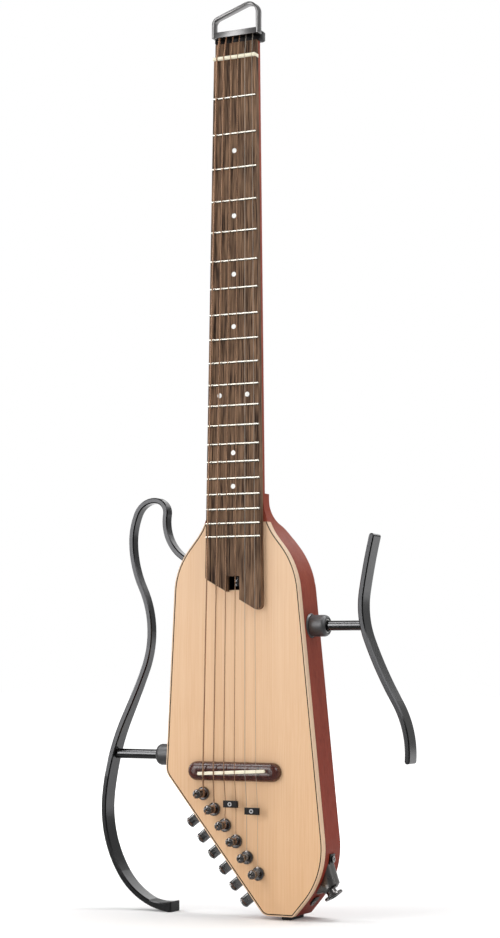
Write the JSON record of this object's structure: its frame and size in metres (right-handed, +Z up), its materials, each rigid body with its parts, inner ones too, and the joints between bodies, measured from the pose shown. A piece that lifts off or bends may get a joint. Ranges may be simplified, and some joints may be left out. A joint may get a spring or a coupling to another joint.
{
  "type": "travel guitar",
  "caption": "Headless travel guitar with a slim bevelled body, removable side frames, edge-mounted tuning machines, a hanging loop and a resting foot, standing upright.",
  "frame": {"origin": "centre of the bounding box in X and Y, on the floor the guitar stands on", "axes": "+Z up along the neck, +Y from the strings to the back, +X towards the treble side as seen from the front"},
  "size_m": [0.3096, 0.0582, 0.8388],
  "materials": {
    "mahogany": "satin",
    "spruce": "satin",
    "dark_wood": "oiled",
    "binding": "gloss",
    "purfling": "matte",
    "bone": "polished",
    "fret_wire": "polished",
    "dots": "pearly",
    "head_metal": "brushed",
    "hardware": "polished",
    "frame_metal": "satin",
    "steel": "turned",
    "wound_wire": "wound",
    "plain_wire": "polished",
    "black_plastic": "matte",
    "rubber": "matte",
    "board": "satin",
    "battery": "printed",
    "black_metal": "satin"
  },
  "bodies": {
    "guitar": {"body": "mahogany", "neck": "mahogany", "soundboard": "spruce", "binding": "binding", "purfling": "purfling", "fretboard": "dark_wood", "frets": "fret_wire", "position_dots": "dots", "nut": "bone", "head_overlay": "dark_wood", "head_block": "head_metal", "string_bar": "head_metal", "hanging_loop": "head_metal", "head_screws": "hardware", "truss_rod": "steel", "truss_pocket": "black_plastic", "bridge": "dark_wood", "saddle": "bone", "pickup_strip": "black_plastic", "string_retainers": "black_metal", "retainer_screws": "hardware", "jack_plate": "hardware", "strap_button": "hardware", "jack_socket": "steel", "jack_plate_screws": "hardware", "rubber_foot": "rubber", "rear_cover": "black_plastic", "cover_screws": "hardware", "preamp_board": "board", "battery": "battery", "tuner_housings": "hardware", "tuner_bushings": "hardware", "tuner_screws": "hardware", "frame_sockets": "hardware", "string_1": "wound_wire", "string_2": "wound_wire", "string_3": "wound_wire", "string_4": "wound_wire", "string_5": "plain_wire", "string_6": "plain_wire"},
    "left_frame": {"left_frame_bar": "frame_metal", "left_frame_rod": "steel", "left_frame_peg": "steel"},
    "right_frame": {"right_frame_bar": "frame_metal", "right_frame_rod": "steel"},
    "left_nut": {"left_lock_nut": "hardware"},
    "right_nut": {"right_lock_nut": "hardware"},
    "truss_wheel_body": {"truss_wheel": "steel"},
    "post_1": {"tuner_post_1": "hardware"},
    "knob_1": {"tuner_knob_1": "hardware"},
    "post_2": {"tuner_post_2": "hardware"},
    "knob_2": {"tuner_knob_2": "hardware"},
    "post_3": {"tuner_post_3": "hardware"},
    "knob_3": {"tuner_knob_3": "hardware"},
    "post_4": {"tuner_post_4": "hardware"},
    "knob_4": {"tuner_knob_4": "hardware"},
    "post_5": {"tuner_post_5": "hardware"},
    "knob_5": {"tuner_knob_5": "hardware"},
    "post_6": {"tuner_post_6": "hardware"},
    "knob_6": {"tuner_knob_6": "hardware"}
  },
  "joints": [
    {"name": "left_frame_slide", "type": "slide", "parent": "guitar", "child": "left_frame", "axis": [-1, 0, 0], "range_m": [0, 0.03]},
    {"name": "right_frame_slide", "type": "slide", "parent": "guitar", "child": "right_frame", "axis": [1, 0, 0], "range_m": [0, 0.03]},
    {"name": "left_nut_spin", "type": "hinge", "parent": "guitar", "child": "left_nut", "pos_m": [-0.0892, 0.00765, 0.143], "axis": [1, 0, 0], "continuous": true},
    {"name": "right_nut_spin", "type": "hinge", "parent": "guitar", "child": "right_nut", "pos_m": [0.0658, 0.00765, 0.261], "axis": [1, 0, 0], "continuous": true},
    {"name": "truss_wheel_turn", "type": "hinge", "parent": "guitar", "child": "truss_wheel_body", "pos_m": [-0.0092, -0.00715, 0.3], "axis": [0, 0, 1], "range_deg": [-180, 180]},
    {"name": "knob_1_turn", "type": "hinge", "parent": "guitar", "child": "knob_1", "pos_m": [-0.03677, 0.01015, 0.10438], "axis": [-0.783, 0, -0.622], "continuous": true},
    {"name": "post_1_turn", "type": "hinge", "parent": "guitar", "child": "post_1", "pos_m": [-0.041, 0.00765, 0.1097], "axis": [0, 1, 0], "continuous": true},
    {"name": "knob_2_turn", "type": "hinge", "parent": "guitar", "child": "knob_2", "pos_m": [-0.02573, 0.01015, 0.09048], "axis": [-0.783, 0, -0.622], "continuous": true},
    {"name": "post_2_turn", "type": "hinge", "parent": "guitar", "child": "post_2", "pos_m": [-0.02996, 0.00765, 0.0958], "axis": [0, 1, 0], "continuous": true},
    {"name": "knob_3_turn", "type": "hinge", "parent": "guitar", "child": "knob_3", "pos_m": [-0.01469, 0.01015, 0.07658], "axis": [-0.783, 0, -0.622], "continuous": true},
    {"name": "post_3_turn", "type": "hinge", "parent": "guitar", "child": "post_3", "pos_m": [-0.01892, 0.00765, 0.0819], "axis": [0, 1, 0], "continuous": true},
    {"name": "knob_4_turn", "type": "hinge", "parent": "guitar", "child": "knob_4", "pos_m": [-0.00365, 0.01015, 0.06268], "axis": [-0.783, 0, -0.622], "continuous": true},
    {"name": "post_4_turn", "type": "hinge", "parent": "guitar", "child": "post_4", "pos_m": [-0.00788, 0.00765, 0.068], "axis": [0, 1, 0], "continuous": true},
    {"name": "knob_5_turn", "type": "hinge", "parent": "guitar", "child": "knob_5", "pos_m": [0.00739, 0.01015, 0.04878], "axis": [-0.783, 0, -0.622], "continuous": true},
    {"name": "post_5_turn", "type": "hinge", "parent": "guitar", "child": "post_5", "pos_m": [0.00316, 0.00765, 0.05411], "axis": [0, 1, 0], "continuous": true},
    {"name": "knob_6_turn", "type": "hinge", "parent": "guitar", "child": "knob_6", "pos_m": [0.01843, 0.01015, 0.03488], "axis": [-0.783, 0, -0.622], "continuous": true},
    {"name": "post_6_turn", "type": "hinge", "parent": "guitar", "child": "post_6", "pos_m": [0.0142, 0.00765, 0.04021], "axis": [0, 1, 0], "continuous": true}
  ],
  "couplings": [
    {"joint": "post_1_turn", "follows": "knob_1_turn", "ratio": 0.0625},
    {"joint": "post_2_turn", "follows": "knob_2_turn", "ratio": 0.0625},
    {"joint": "post_3_turn", "follows": "knob_3_turn", "ratio": 0.0625},
    {"joint": "post_4_turn", "follows": "knob_4_turn", "ratio": 0.0625},
    {"joint": "post_5_turn", "follows": "knob_5_turn", "ratio": 0.0625},
    {"joint": "post_6_turn", "follows": "knob_6_turn", "ratio": 0.0625}
  ]
}
